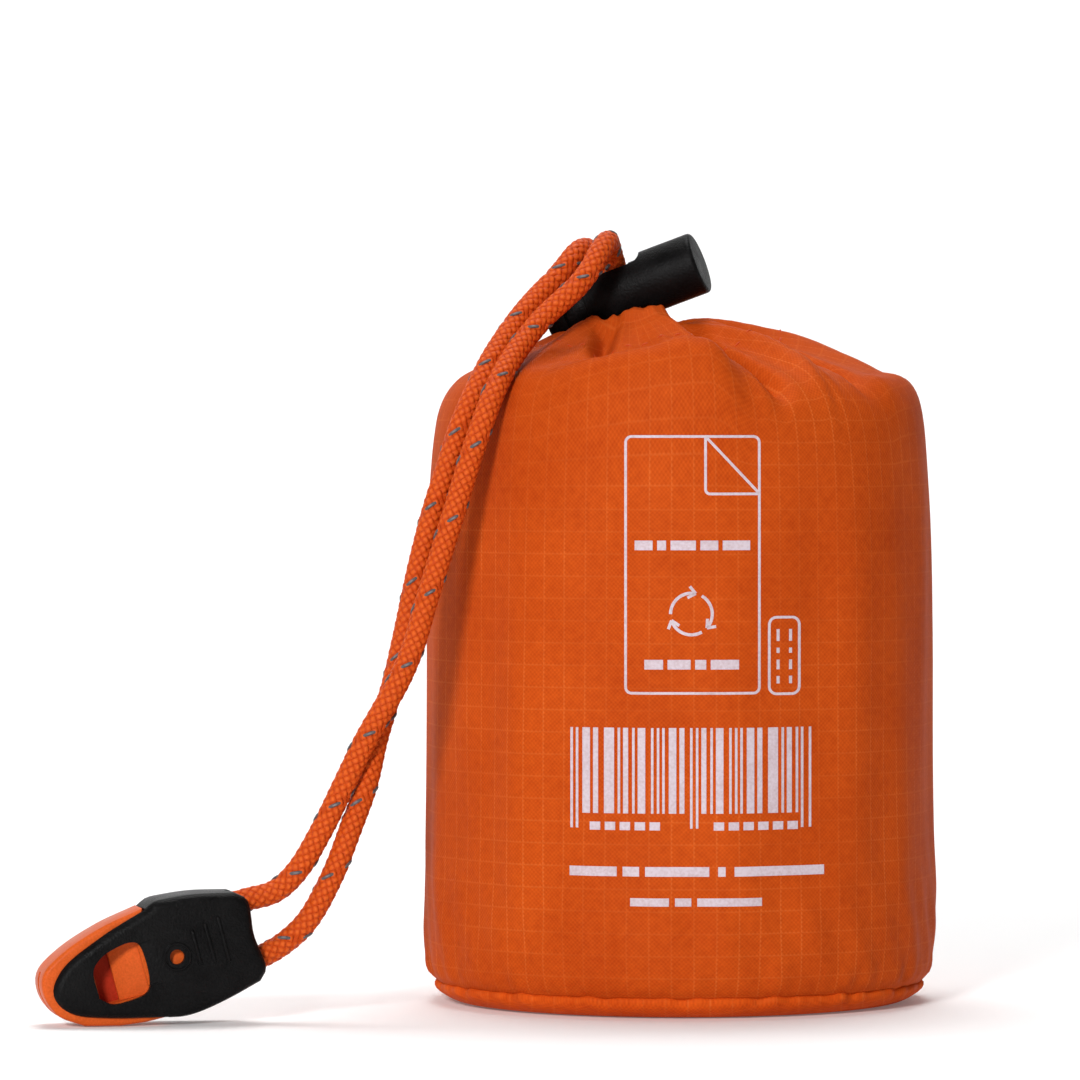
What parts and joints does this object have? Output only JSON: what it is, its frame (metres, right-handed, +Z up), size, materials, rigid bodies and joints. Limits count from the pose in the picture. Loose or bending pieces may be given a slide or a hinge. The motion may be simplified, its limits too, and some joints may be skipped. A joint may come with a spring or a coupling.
{
  "type": "emergency sleeping bag packed in a drawstring stuff sack",
  "caption": "Small upright ripstop stuff sack, drawn shut and filled, with a braided drawstring, a sprung barrel cord lock and a whistle on the cord's end",
  "frame": {"origin": "The middle of the sack's base, on the surface that it stands on.", "axes": "+Z is up the standing sack, its longest extent. -Y faces the viewer of the printed front. The drawstring and the whistle hang towards -X."},
  "size_m": [0.1221, 0.082, 0.1066],
  "materials": {
    "orange_ripstop": "thin woven ripstop with a slight sheen",
    "orange_cord": "braided cord with a grey tracer yarn",
    "black_plastic": "fine-grained moulded plastic",
    "orange_plastic": "smooth moulded plastic"
  },
  "bodies": {
    "sack": {"sack": "orange_ripstop", "base_panel": "orange_ripstop", "cord_front": "orange_cord", "cord_back": "orange_cord", "lock_barrel": "black_plastic", "whistle_body": "orange_plastic", "whistle_cover": "black_plastic"},
    "plunger": {"lock_plunger": "black_plastic"}
  },
  "joints": [
    {"name": "lock_plunger_slide", "type": "slide", "parent": "sack", "child": "plunger", "axis": [0.9179, -0.1985, 0.3437], "range_m": [0, 0.0026], "stiffness_N_per_m": 200, "springref_m": -0.004}
  ]
}
